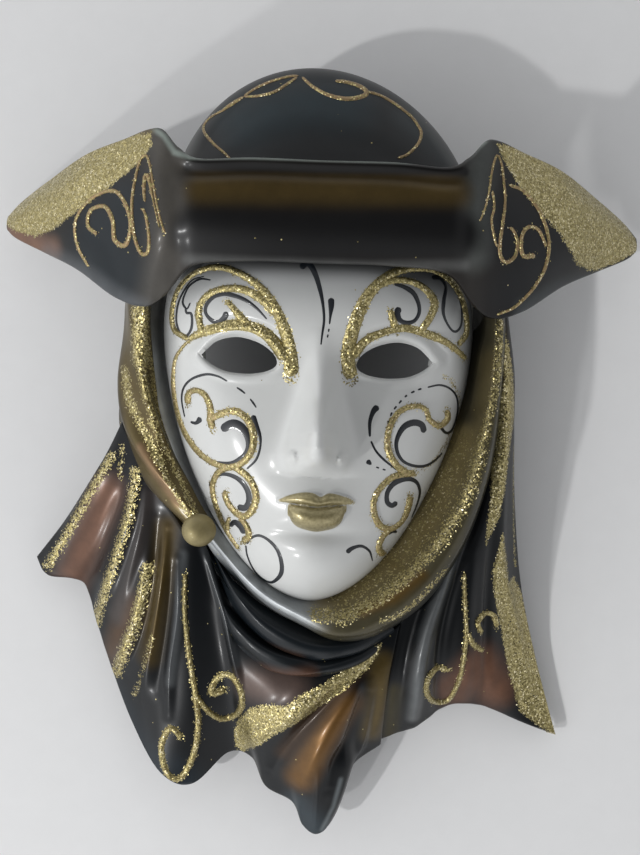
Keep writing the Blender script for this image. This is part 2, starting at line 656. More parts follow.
cheekRightLines = [
    ((2.6, 1.8, 2.4, 2.6), [(49.4, -115.6), (50, -119), (46.6, -121.8), (42.4, -119.6), (40.6, -115.8),
     (36, -115), (30.5, -117.5), (27.1, -124), (27.1, -131), (30.6, -137), (35, -139.8)]),
    ((1.6, 1.8, 1), [(48.1, -103.3), (52, -106.3), (54.6, -111), (55.3, -116.2), (53.7, -122), (49.5, -130),
     (43.5, -137), (37, -140)]),
    ((2.6, 2.4, 2.2, 2.6, 2, 3), [(38, -139.6), (30, -141), (24.5, -146), (22.6, -152), (25, -159),
     (30, -161), (34.6, -157.5), (36.4, -152), (36.6, -148.4)]),
    ((2.4, 2, 3), [(29.6, -160.8), (26.6, -164.4), (25.6, -168.5), (28, -171.5)]),
]

# strokes of a fine brush: widths from start to end, and the path; a dash length breaks the line
faceBrushLines = [
    ((0.5, 1.4, 1.9, 1.2, 2.4), 0, [(-18.4, -85.8), (-22, -82.2), (-26, -79.4), (-30.4, -77.6),
     (-34.5, -76.8), (-38.3, -77.8), (-40.9, -80.7), (-41.2, -83.6), (-39, -86.2), (-36.4, -87),
     (-34.2, -85.5), (-33.1, -83.3)]),
    ((0.5, 0.9, 0.8, 0.9, 0.6), 0, [(-39.7, -71.6), (-44, -71), (-47.9, -73), (-49.9, -76.2),
     (-50.6, -79.5), (-48.8, -81.8), (-47.4, -79.6)]),
    ((0.4, 0.8, 0.9, 0.9, 1.1, 0.9), 0, [(-42.4, -70), (-47.2, -71.2), (-50.7, -75.4), (-52.7, -80),
     (-53.2, -85.7), (-51.8, -89.9), (-49.6, -92.2), (-47.2, -90), (-46.5, -86.8), (-47, -83.7),
     (-48.8, -83.3), (-49.4, -81.6)]),
    ((1, 1.9, 1.5, 1.3, 1.6, 2.6), 0, [(26.9, -71.4), (30.6, -72.2), (34, -74.1), (36, -77.5), (36.5, -81),
     (35, -84), (32.2, -85), (29.5, -84.2), (28.4, -81.6), (29.4, -79.9)]),
    ((1.8, 1.2, 1.6, 0.9, 0.9, 0.9, 0.6), 0, [(41, -67.5), (44.6, -67.5), (46.7, -70.5), (46, -75.4),
     (45.8, -79.9), (47.2, -83.4), (49.7, -86.2), (51.7, -86.3), (53.5, -83.8), (53.7, -78.9),
     (52.7, -74.5), (51.3, -71.7)]),
    ((2.4, 2, 1.6, 1, 0.9, 0.5), 0, [(-7, -67.2), (-5, -65.3), (-3.2, -66.3), (-1.3, -69.9), (0.3, -74.8),
     (1.5, -80), (2.1, -85.5), (1.6, -90.9), (1.3, -94.5)]),
    ((2.4, 2, 1, 0.5), 0, [(4.3, -77.6), (4.5, -80.4), (4.3, -84), (4.1, -87)]),
    ((0.6, 0.5), 1.2, [(4, -88.5), (3.4, -92.6)]),
    ((0.6, 0.9, 1, 0.6), 0, [(-49.2, -121.8), (-50.5, -115.5), (-49.7, -111), (-46.4, -107.7),
     (-40.8, -105.9), (-36.2, -106.5), (-32.4, -108.3)]),
    ((0.5, 0.8, 0.5), 4.6, [(-28.9, -110.4), (-26.3, -112.1), (-24, -114.2), (-21.7, -117.1),
     (-20.2, -119.9)]),
    ((3.2, 3.4, 2.6, 2, 1.3, 0.7), 0, [(-33.6, -126.6), (-32.4, -125), (-29.7, -123.8), (-26.7, -124.8),
     (-24.4, -127.6), (-23.6, -130.9), (-24.3, -133.9), (-26.9, -136.5), (-30.6, -138.2), (-36.3, -138.1)]),
    ((2.2, 1.6, 0.8, 0.9, 0.7), 0, [(-22.6, -120.4), (-21.2, -123.9), (-19.6, -128.2), (-19.5, -132.2),
     (-20.9, -136.6), (-24.2, -140.1)]),
    ((0.7, 1.4, 2.8), 0, [(-46.7, -123.6), (-44.2, -123.9), (-42.2, -122)]),
    ((0.8, 1.2, 1.8, 2.2, 2.4), 0, [(-39, -147.5), (-36.9, -144.2), (-33.3, -142.5), (-29.4, -143),
     (-26, -145), (-23.7, -148.3), (-23.2, -152), (-24.7, -154.6), (-27.6, -154.4)]),
    ((1.6, 2.4, 2.4), 0, [(-30.6, -162.3), (-28.6, -160.5), (-26.3, -161.9), (-24.7, -164.5)]),
    ((1, 1, 1.4, 1.7, 0.9, 0.7, 0.7), 0, [(-23.9, -168.4), (-22, -165.8), (-18.9, -164.7), (-15.1, -166.4),
     (-12, -169.7), (-10.5, -174), (-10.4, -178), (-11.9, -181), (-14.6, -183), (-18.1, -181.8),
     (-21.3, -178.4), (-23.6, -173.2), (-24.2, -169)]),
    ((0.5, 0.7, 0.8), 1.9, [(26.6, -122.2), (27.9, -117.8), (30, -114.8), (32.9, -111.5), (36.2, -109.5),
     (40, -108)]),
    ((0.6, 0.8, 0.8, 0.9, 1, 1.4), 0, [(41.1, -107.8), (45.8, -106.7), (50, -107.6), (53.2, -110.3),
     (54.5, -114.8), (54, -119.3), (52.5, -123.2), (50, -124.4), (47.7, -122.6), (47.5, -120.4)]),
    ((0.8, 1.3, 0.7), 0, [(50, -102.4), (53.6, -104), (56, -107.9), (56, -112.8), (55.2, -117.4)]),
    ((2.4, 2.4, 1.5, 1.1, 1.1, 0.7), 0, [(40.6, -124.6), (39.5, -121.8), (36.4, -121), (33, -122.4),
     (30.9, -125.4), (30, -129), (30.9, -132.7), (33.4, -135.6), (37.4, -137), (41.8, -137), (45.8, -135),
     (49, -132)]),
    ((2.6, 1.6, 1.2, 0.8), 0, [(22.9, -115.6), (21.2, -117.4), (20, -121.4), (20.2, -126.8)]),
    ((0.7, 0.9, 0.6), 0, [(20.6, -128.2), (22.6, -131.8), (25.8, -135), (30.9, -138.7)]),
    ((2.4, 1.6, 0.8), 0, [(19.4, -135.4), (20.4, -136.2), (21.2, -136.8)]),
    ((0.6, 0.5), 1.7, [(22.9, -137.7), (27.8, -139.1)]),
    ((2, 1.7, 2.2, 1.4, 0.9, 0.6), 0, [(31.6, -150.7), (29.8, -152), (27.8, -150.7), (27.6, -147.3),
     (29.3, -144.3), (32.3, -142.4), (36.1, -142), (39.1, -143.5), (40.6, -147), (40.1, -151.3),
     (38.2, -157.2)]),
    ((0.9, 1.6, 1), 0, [(29, -163.2), (30.5, -162), (32.5, -162.5)]),
    ((2, 1.2, 0.9, 0.4), 0, [(13.3, -169.6), (15.5, -168), (18.8, -167.3), (22, -169.4), (23.5, -173.5)]),
    ((0.5, 0.9, 0.5), 0, [(12.2, -179.3), (15.1, -181.9), (18.2, -182.1), (21.5, -179.3)]),
]


def lineCover(lines, x, z, spill):
    cover = np.zeros_like(x)
    for widths, path in lines:
        even = evenSpline(path, 1.5)
        gap, along = distanceTo(even, x, z)
        half = 0.5 * np.interp(along, np.linspace(0, 1, len(widths)), widths)
        cover = np.maximum(cover, 1 - easeBetween(half - 0.3, half + spill, gap))
    return cover


def makeFace():
    points, u, v = shapedSheet("face", faceSurface, face["steps"], rounding=0.01)
    points, holes = openEyes(points)
    x, z = points[..., 0], points[..., 2]
    piece = gridObject("painted_face", points)
    passes = [
        ("#54575a", 0, 0.62, 18, 16, [(-40, -60), (0, -60), (60, -60)]),
        ("#3f4244", 0, 0.55, 8, 8, [(34, -64), (58, -66), (62, -92)]),
        ("#1b1c1d", 0, 0.94, 6.4, 4.6, [(-62, -60), (-30, -61.5), (0, -62.2), (30, -61), (62, -59)]),
        ("#4d4f50", 0, 0.5, 4.5, 4.5, [(-62, -66), (-58, -92), (-60, -120)]),
        ("#4d4f50", 0, 0.5, 4.5, 4.5, [(62, -66), (59, -92), (60, -120)]),
    ]
    allLines = browLeftLines + browRightLines + cheekLeftLines + cheekRightLines
    paintSheet(piece, points, ("#c6c7c5", 0), passes, [],
               face["underGlue"] * lineCover(allLines, x, z, face["spill"]))
    _, upper, lower, bow, full = mouthParts(x, z)
    lipEdge = np.maximum(np.minimum(upper, 1 - upper) * bow, np.minimum(lower, 1 - lower) * full)
    giveAttribute(piece, "lips", lipEdge)
    deleteFaces(piece, holes)
    castWall(piece, face["wall"], faceGlaze, darkInside)

    claim(piece, "white_glaze", "face_shell")
    print("face ready", len(piece.data.polygons))
    return piece


def addLips():
    # olive gilt on the lips, laid inside the drawn edge of each lip
    tree = faceGlaze.node_tree
    shader = tree.nodes["Principled BSDF"]
    edge = addNode(tree, "ShaderNodeAttribute", {"attribute_name": "lips"}).outputs["Fac"]
    on = addNode(tree, "ShaderNodeMapRange", {"From Min": 0.05, "From Max": 0.35}, {"Value": edge})
    place = addNode(tree, "ShaderNodeTexCoord").outputs["Object"]
    cloud = addNode(tree, "ShaderNodeTexNoise", {"Scale": 900.0, "Detail": 5.0}, {"Vector": place})
    tones = addNode(tree, "ShaderNodeValToRGB", None, {"Fac": cloud.outputs["Fac"]})
    tones.color_ramp.elements[0].position = 0.35
    tones.color_ramp.elements[0].color = (*linearColour("#857b58"), 1)
    tones.color_ramp.elements[1].position = 0.7
    tones.color_ramp.elements[1].color = (*linearColour("#a59a74"), 1)
    for name, kind, below in (("Base Color", "RGBA", tones.outputs["Color"]), ("Metallic", "FLOAT", 0.55),
                              ("Roughness", "FLOAT", 0.36)):
        before = shader.inputs[name].links[0].from_socket
        a, b, out = (6, 7, 2) if kind == "RGBA" else (2, 3, 0)
        mixed = addNode(tree, "ShaderNodeMix", {"data_type": kind}, {0: on.outputs[0], a: before})
        if kind == "RGBA":
            tree.links.new(below, mixed.inputs[b])
        else:
            mixed.inputs[b].default_value = below
        tree.links.new(mixed.outputs[out], shader.inputs[name])


paintedFace = makeFace()
addLips()

# the hat

hat = {
    "steps": (380, 84), "wall": 4.0, "underGlue": 0.12, "spill": 0.6, "bandEdge": 0.7,
    "crownSteps": (200, 90), "crownWall": 4.0, "spring": -45, "foot": -57.5,
    "halfStations": [
        [(0, -29.5, 71), (0, -41, 72), (0, -54, 71.5), (0, -66, 66.5)],
        [(25, -29.3, 71), (25, -41, 72), (25, -54, 71.5), (25, -66, 66)],
        [(44, -30, 69.5), (45, -42, 71), (46, -55, 70), (46, -68, 63)],
        [(52, -26, 68.5), (55, -42, 69), (57, -60, 66), (57, -78, 53)],
        [(60.5, -18.3, 64.5), (62, -38, 66), (64, -60, 62), (65, -82, 49)],
        [(75, -19.8, 51.5), (76, -38, 56), (77, -58, 54), (77, -78.5, 44)],
        [(91, -22.8, 38), (93, -36, 43), (94, -52, 41), (94, -67, 31)],
        [(107, -29, 22), (109, -38, 27), (110, -48, 26), (110, -59, 18)],
        [(121, -36, 10), (122.5, -41.5, 13), (123.5, -47, 13), (123.5, -52.5, 10)],
        [(128.6, -42.5, 6), (128.8, -44.5, 6.5), (128.8, -47, 6.5), (128.4, -48.5, 6)],
    ],
    "crownArches": [(0.2, 56, 12), (14, 57.5, 12.8), (30, 58.5, 13.4), (42, 57.5, 12.4), (52, 53, 5),
                    (59, 46, -7.5), (64, 38, -20), (69, 31, -33)],
    "crownLean": -4.0,
}


def brimSurface():
    half = hat["halfStations"]
    left = [[(-x, z, d) for x, z, d in station] for station in half[:0:-1]]
    stations = left + half
    return netSurface([[station[row] for station in stations] for row in range(4)])


def brimRelief(u, v, points):
    # a rolled bead and a groove along the band's top edge, and a soft fold where each wing turns
    x = points[..., 0]
    onBand = 1 - easeBetween(46, 56, np.abs(x))
    bead = 1.5 * bell((v - 0.05) / 0.05) - 0.9 * bell((v - 0.17) / 0.06)
    fold = 0.8 * bell((np.abs(x) - 52) / 4) * easeBetween(0.1, 0.35, v)
    return bead * onBand - fold


def crownSurface(u, v):
    rows = []
    for depth, halfWidth, top in hat["crownArches"]:
        angles = np.linspace(0, math.pi, 13)
        rise = top - hat["spring"]
        row = [(-halfWidth, hat["foot"], depth)]
        row += [(-halfWidth * math.cos(a) + hat["crownLean"] * math.sin(a)**1.5,
                 hat["spring"] + (rise - 1) * math.sin(a)**1.12, depth) for a in angles]
        rows.append(row + [(halfWidth, hat["foot"], depth)])
    return netSurface(rows)(u, v)


def wingLines(side):
    if side < 0:
        return [
            ((1.0, 1.3, 1.7, 1.4), [(-88, -66), (-92.5, -58), (-92.5, -49), (-86, -42.2), (-77, -40),
             (-71.6, -45), (-69, -53), (-71, -60), (-75.5, -58), (-76.4, -51), (-80, -45.6),
             (-86, -46.5), (-87, -52), (-83, -55.3)]),
            ((0.8, 0.8, 1.0, 1.2, 1.4, 0.9), [(-55.6, -56.9), (-58, -49.8), (-60.1, -40.9), (-62.2, -32),
             (-64, -28.5), (-66.1, -30.2), (-67.6, -36.5), (-68.6, -43.5), (-68.4, -50.8),
             (-67.2, -58.2), (-64.9, -63.2), (-62.4, -63.1), (-61.7, -58.9), (-62.3, -53.4),
             (-63.8, -48.6), (-65.1, -47.7)]),
            ((0.6, 0.7, 1.6, 1.0), [(-57.6, -55), (-60, -46), (-62.2, -37.4), (-63.6, -36),
             (-64, -41), (-63.4, -45.5)]),
        ]
    return [
        ((0.9, 1.2, 1.5, 1.2), [(66, -80), (73, -76.5), (80, -69), (84, -61), (84.4, -52), (80, -42),
         (73, -35.5), (67, -34.3)]),
        ((1.2, 1.4, 1.8), [(83.5, -54), (79.5, -48.5), (75, -48.5), (72.7, -53), (74, -58.6),
         (79, -57.8)]),
        ((0.6, 0.8, 0.9, 1.4, 1.1), [(56.2, -48.9), (58.2, -43.1), (59.4, -36.5), (60.2, -30),
         (62, -24.3), (63.8, -27.1), (64.9, -33.8), (65.6, -40.9), (65, -48.3), (64.4, -55),
         (65, -60), (67.6, -61.7), (70.6, -59.4), (71.3, -54.5), (69.4, -50.4), (67.6, -49.6)]),
        ((0.9, 0.9, 0.9), [(60.4, -37.5), (61.4, -43), (60.6, -48), (62, -54), (63.4, -57)]),
    ]


def bandOf(side):
    # the broad band of glitter along a wing's upper edge, as corner places round it
    if side < 0:
        return [(-62.5, -20.5), (-61.7, -25), (-66.1, -30.7), (-78.1, -38.4), (-90.7, -45.6),
                (-103.7, -51.2), (-113, -52.6), (-123, -49.5), (-130, -45), (-122, -35), (-108, -28.4),
                (-92, -22), (-76, -18.5)]
    return [(61.8, -20), (64, -24.3), (71.6, -34.4), (78.8, -40.6), (90.6, -50), (99.4, -58), (108, -58.5),
            (118, -54), (130, -47), (122, -36), (107, -28), (91, -21.8), (75, -18.8)]


def makeHat():
    points, u, v = shapedSheet("hat", brimSurface(), hat["steps"], brimRelief)
    x, z = points[..., 0], points[..., 2]
    piece = gridObject("painted_brim", points)
    black, brown = "#0b0b0c", "#17130f"
    passes = [
        ("#0c161c", 0.1, 0.95, 14, 9, [(-72, -50), (-84, -60), (-76, -70)]),
        ("#0c0e11", 0.1, 0.95, 14, 9, [(70, -50), (84, -60), (76, -72)]),
        ("#4d4a45", 0.2, 0.8, 6, 6, [(-57, -25), (-54, -45), (-56, -66), (-60, -80)]),
        ("#4f5250", 0.2, 0.8, 4.5, 5, [(57, -22), (55, -40), (55.5, -60)]),
        ("#4b3d20", 0.5, 0.95, 4.6, 4.6, [(-43, -41.5), (0, -40.5), (47, -39.5)]),
        (black, 0, 0.97, 8.5, 4.0, [(-45, -56.4), (0, -56.6), (48, -54)]),
        ("#5b5c5b", 0.1, 0.5, 1.6, 1.6, [(-48, -65.4), (-20, -66), (20, -66), (52, -64)]),
        ("#7a827c", 0.25, 0.9, 1.0, 0.8, [(-63, -17.4), (-57, -22.2), (-53, -28.2), (-47, -30.2),
         (-30, -29.6), (0, -29.4), (30, -29.2), (46, -27.4), (52, -23.4), (57, -19.6)]),
        ("#0c0b0b", 0.1, 0.95, 1.5, 1.0, [(-48, -33), (0, -32.6), (50, -31.6)]),
        ("#7e6050", 0.3, 0.8, 4, 4, [(-125, -49), (-114, -55), (-106, -58)]),
        ("#5f6265", 0.2, 0.6, 3.5, 3.5, [(-108, -60), (-92, -68), (-77, -78), (-66, -83)]),
        ("#6a5f48", 0.5, 0.8, 2.5, 2.0, [(-64, -19), (-80, -21)]),
        ("#4b5052", 0.2, 0.6, 3.5, 3.5, [(112, -60), (94, -68), (77, -78)]),
    ]
    cover = hat["underGlue"] * lineCover(wingLines(-1) + wingLines(1), x, z, hat["spill"])
    for side in (-1, 1):
        cover = np.maximum(cover, areaCover(bandOf(side), x, z, hat["bandEdge"]))
    paintSheet(piece, points, (brown, 0.15), passes, [], cover)
    castWall(piece, hat["wall"], hatGlaze, darkInside)
    claim(piece, "bronze_lustre", "hat_brim")

    points, u, v = shapedSheet("crown", crownSurface, hat["crownSteps"], rounding=0.5)
    crown = gridObject("painted_crown", points)
    passes = [("#14242a", 0.1, 0.8, 9, 9, [(-30, -14), (-10, -6), (8, -6)]),
              ("#2c3335", 0.1, 0.6, 5, 5, [(30, -9), (46, -22)]),
              ("#5c5d5b", 0.1, 0.8, 8, 7, [(-57, -16), (-56, -40)]),
              ("#3b3d3c", 0.1, 0.8, 5, 4, [(40, -6), (50, -18), (58, -36)])]
    paintSheet(crown, points, ("#080b0d", 0.05), passes, [])
    castWall(crown, hat["crownWall"], hatGlaze, darkInside)
    claim(crown, "black_glaze", "hat_crown")
    print("hat ready")
    return piece, crown


paintedBrim, paintedCrown = makeHat()

# hood, scarf, collar and cowl folds

cloth = {
    "hoodSection": [(-1, 19), (1.2, 29), (4.6, 33.5), (8, 31), (9.8, 22), (10.6, 13)],
    "hoodSteps": (260, 36),
    "scarf": [
        [(-76, -76, 24), (-73, -76, 36), (-66, -76, 41), (-64, -76, 34)],
        [(-76.5, -90, 20), (-73.5, -90, 33), (-66, -90, 40), (-64, -90, 34)],
        [(-78.5, -109, 17), (-75, -109, 31), (-65, -108, 39), (-62.5, -107.5, 33)],
        [(-76.5, -127, 19), (-72.5, -126, 33), (-62, -124, 39.5), (-58, -123, 33)],
        [(-69, -143, 24), (-65, -142, 36), (-56, -140, 40.5), (-52, -138, 34)],
        [(-58.5, -156, 28), (-55, -154, 39), (-49, -152, 41), (-45.5, -150, 36)],
        [(-49, -164, 31), (-46, -163, 40), (-42, -161, 42), (-39, -159, 38)],
    ],
    "scarfSteps": (90, 190), "scarfFoldRise": 1.6,
    "collar": [
        [(-39, -159.5, 34), (-40, -161.5, 35), (-41, -164, 37), (-41, -167, 35), (-42, -169, 28)],
        [(-23.6, -176.4, 36.5), (-23.6, -179, 39.5), (-22, -183.5, 42.5), (-20.5, -188, 40),
         (-21.5, -191.5, 30)],
        [(-8, -186.6, 37), (-7, -189.5, 40.5), (-5, -193, 46), (-2, -198, 43), (-2, -201, 33)],
        [(9, -187, 37), (10, -191, 42), (11, -197, 48.5), (12, -203, 45), (12, -206.5, 34)],
        [(20.6, -178.6, 36), (23, -184, 42), (26, -191, 49), (27, -199, 46), (27, -203, 34)],
        [(33, -165, 34.5), (37, -170, 41), (42, -177, 48.5), (44.5, -186, 45), (45, -190, 33)],
        [(43, -147.4, 32.5), (48.5, -151, 39), (54, -158, 46), (58, -164.5, 43), (59.5, -167.5, 32)],
        [(51, -128, 31), (57, -131, 38), (62, -135, 44.5), (66.5, -138.5, 41), (68.5, -140, 30)],
        [(57.4, -107, 30), (62, -108, 36), (66, -109.5, 42.5), (70, -111, 39.5), (72, -111.5, 29)],
        [(59.4, -86, 29.5), (63.5, -86, 35), (67, -86, 41.5), (71, -86.5, 38), (73, -87, 27)],
        [(59.2, -75, 29), (63.5, -75, 35), (66.5, -75, 41), (70, -75, 38), (72.5, -75, 27)],
    ],
    "collarSteps": (340, 60),
    "cowlUpper": [
        [(-40, -170, 29), (-38, -173, 32), (-37.5, -177, 30), (-39, -180, 24)],
        [(-30, -182, 35), (-27.5, -188, 41), (-27, -194, 38), (-29, -197, 29)],
        [(-16, -193, 36), (-13.5, -200, 43), (-13, -206.5, 40), (-14, -209, 31)],
        [(1, -200, 36), (2, -206, 43.5), (3, -211, 41), (3, -213, 32)],
        [(15, -200, 36), (17, -205, 42), (18.5, -209, 40), (19, -211, 31)],
        [(29, -194, 31), (32, -198, 34), (34, -201, 33), (34, -203, 27)],
    ],
    "cowlLower": [
        [(-37.5, -183, 26), (-35.5, -188, 29), (-35, -193, 28), (-36.5, -196, 23)],
        [(-32, -192, 31), (-29.5, -199, 36.5), (-29, -204, 35), (-31, -207, 27)],
        [(-18, -204, 32), (-15.5, -210, 39), (-15, -215, 37), (-16.5, -218, 29)],
        [(1, -209, 33), (2, -214.5, 40), (3, -218.5, 38), (2, -221, 30)],
        [(16, -207, 33), (18, -211, 38.5), (19.5, -214, 37), (19.5, -216, 29)],
        [(29, -200, 29), (32, -203, 31), (34, -205, 30), (34, -207, 25)],
    ],
    "cowlSteps": (170, 46),
    "cowlRidges": [
        (0.9, 1.1, [(-31, -195.9), (-23.1, -204.1), (-15.9, -209), (-9, -211.5), (1.3, -212.4),
                    (12.5, -209.6)]),
        (0.8, 1.0, [(-27, -209), (-19.7, -215.5), (-11, -217.6), (-2.4, -217.6), (10, -215)]),
    ],
    "wall": 2.6,
    "button": (-42, -45, -164), "buttonRadius": 6.2,
}


def hoodSurface(u, v):
    egg = face["egg"]
    n = 2 / egg["roundness"]
    angle = -0.16 + (math.pi + 0.32) * u
    chinRise = 5 * easeBetween(0.55, 1, np.sin(angle))
    rows = []
    for spread, depth in cloth["hoodSection"]:
        x = -np.sign(np.cos(angle)) * (egg["halfWidth"] + spread) * np.abs(np.cos(angle))**n
        drop = (egg["widest"] - egg["chin"] + spread) * np.abs(np.sin(angle))**n
        z = np.where(np.sin(angle) < 0, egg["widest"] + 1.5 * drop, egg["widest"] - drop)
        rows.append(np.stack([x, -(depth + chinRise), z], -1))
    return alongSpline(np.array(rows), v)


def scarfRelief(u, v, points):
    across = 1 - u
    crests = [bell((across - start - 0.75 * (1 - v)) / 0.1) for start in (-0.5, -0.12, 0.26, 0.64)]
    fold = np.max(crests, axis=0)
    return cloth["scarfFoldRise"] * np.sin(math.pi * np.clip(v, 0, 1))**0.6 * (fold - 0.35)


def stationSurface(stations):
    return netSurface([[station[row] for station in stations] for row in range(len(stations[0]))])


def collarRelief(u, v, points):
    # long shallow creases run along the roll
    ease = np.sin(math.pi * u)**0.5
    low = 1 - easeBetween(0.3, 0.5, u)
    return ease * (0.6 * bell((v - 0.62 - 0.04 * np.sin(9 * u)) / 0.06) - 0.5 * low * bell((v - 0.36) / 0.09)
                   - 0.5 * bell((v - 0.78 + 0.04 * np.sin(7 * u)) / 0.05))


def cowlRelief(u, v, points):
    x, z = points[..., 0], points[..., 2]
    return ridgeRelief(cloth["cowlRidges"], x, z)


def rolledPiece(name, surface, steps, relief, paint, slot, node, rounding=0.8):
    points, u, v = shapedSheet(name, surface, steps, relief, rounding)
    piece = gridObject(name, points)
    paintSheet(piece, points, *paint)
    castWall(piece, cloth["wall"], drapeGlaze, darkInside)
    claim(piece, slot, node)
    return piece


def makeCloth():
    rolledPiece("painted_hood", hoodSurface, cloth["hoodSteps"], None, (
        ("#a2a5a5", 0.3), [
            ("#3c3a30", 0.4, 0.9, 14, 10, [(66, -70), (66, -120), (52, -160), (34, -185)]),
            ("#55544e", 0.2, 0.8, 12, 10, [(-66, -60), (-68, -84)]),
            ("#c3c6c6", 0.3, 0.8, 5, 5, [(-60, -118), (-53, -138), (-46, -153)]),
            ("#1d2428", 0.1, 0.95, 12, 6, [(-34, -186), (-16, -197), (4, -201), (30, -192)]),
        ], []), "silver_grey", "hood_rim")
    rolledPiece("painted_scarf", lambda u, v: netSurface(cloth["scarf"])(u, v), cloth["scarfSteps"],
        scarfRelief, (("#574b2d", 0.45), [
            ("#2d2b26", 0.1, 0.8, 2.6, 3, [(-78, -80), (-80, -110), (-72, -140), (-58, -158)]),
            ("#5d5c56", 0.2, 0.8, 5, 4, [(-70, -74), (-66, -78)]),
            ("#9a968a", 0.4, 0.75, 1.4, 1.4, [(-60, -104), (-57, -116), (-50, -132), (-42, -150)]),
            ("#8c6f54", 0.4, 0.6, 1.6, 1.6, [(-66, -134), (-59, -144), (-51, -154)]),
        ], [
            (0.85, 3.4, 1.6, [(-67.6, -82), (-67.8, -92), (-66.8, -101)]),
            (0.7, 1.2, 1.2, [(-61.6, -86.1), (-61.1, -91.8), (-62.6, -101.5), (-62.1, -111), (-58.9, -121.4),
                             (-54.3, -131.7)]),
            (0.75, 1.8, 1.4, [(-67.5, -100), (-66, -108), (-63.6, -115), (-60, -124)]),
            (0.85, 1.6, 1.4, [(-74, -104.5), (-71.9, -115.1), (-67.5, -123.6), (-62.7, -131), (-58, -139.4)]),
            (0.85, 0.8, 0.9, [(-62.2, -131), (-56.9, -142.1), (-50.8, -152.3), (-45.5, -160.7)]),
            (0.8, 0.8, 0.9, [(-62.9, -123.4), (-57.5, -131.8), (-52.4, -142), (-47, -152.2), (-43, -160)]),
        ]), "bronze_lustre", "scarf_twist")
    rolledPiece("painted_collar", stationSurface(cloth["collar"]), cloth["collarSteps"],
        collarRelief, (("#4b4634", 0.35), [
            ("#969a9c", 0.3, 0.95, 9, 6, [(-42, -162), (-28, -177), (-12, -188), (-2, -191)]),
            ("#22292d", 0.1, 0.9, 2.4, 2.8, [(-40, -174), (-22, -193), (-5, -204), (10, -208)]),
            ("#15191c", 0.1, 0.85, 3.2, 3, [(8, -207), (27, -204), (45, -190), (60, -168), (69, -140),
                                         (73, -110), (74, -80)]),
            ("#7a6d48", 0.5, 0.8, 5, 5, [(6, -190), (21, -182), (34, -171), (45, -155), (53, -138),
                                           (59, -118), (62, -98)]),
            ("#1c1d1c", 0.1, 0.85, 4, 4, [(58, -118), (60, -100), (60.5, -84), (61, -74)]),
            ("#5a4318", 0.55, 0.8, 1.8, 2, [(20, -192), (32, -186.5), (42, -177.5)]),
        ], [
            (0.3, 5, 5, [(14, -187), (28, -178), (41, -163), (50, -147), (56, -131)]),
            (0.8, 2.0, 1.8, [(2.8, -193.9), (12.5, -194.6), (22.1, -189.5), (32.5, -182), (40, -174.4),
                             (48.5, -164.6)]),
            (0.75, 2.2, 2.0, [(48.5, -164.6), (54.1, -156), (58.7, -146.2), (61.4, -135.4), (64, -125)]),
            (0.75, 1.5, 1.3, [(64, -125), (67, -111), (68.6, -98.7), (69, -82)]),
            (0.6, 0.9, 0.9, [(27, -195.4), (32.9, -193.5), (38.6, -189.5), (44.2, -183), (50.9, -175.7)]),
        ]), "bronze_lustre", "collar_roll")
    rolledPiece("painted_cowl_upper", stationSurface(cloth["cowlUpper"]), cloth["cowlSteps"],
        cowlRelief, (("#14191d", 0.1), [("#4f392c", 0.4, 0.8, 2.4, 3, [(-16, -210), (-4, -212.5)])],
                     []), "black_glaze", "cowl_fold_upper")
    rolledPiece("painted_cowl_lower", stationSurface(cloth["cowlLower"]), cloth["cowlSteps"],
        cowlRelief, (("#171b1e", 0.1), [
            ("#54392a", 0.4, 0.85, 2.6, 3, [(-17, -218.5), (-8, -219.7), (1.4, -217.5)]),
        ], []), "black_glaze", "cowl_fold_lower")

    deselectAll()
    x, y, z = (c * mm for c in cloth["button"])
    bpy.ops.mesh.primitive_uv_sphere_add(segments=64, ring_count=40, radius=cloth["buttonRadius"] * mm,
                                         location=(x, y, z))
    button = bpy.context.object
    button.name = "gilt_button"
    button.scale = (1.04, 0.78, 1)
    bpy.ops.object.transform_apply(location=True, rotation=True, scale=True)
    bpy.ops.object.shade_smooth()
    button.data.materials.append(giltPaint)
    claim(button, "gilt_paint", "scarf_button")
    print("cloth rolls ready")


makeCloth()

# drapes

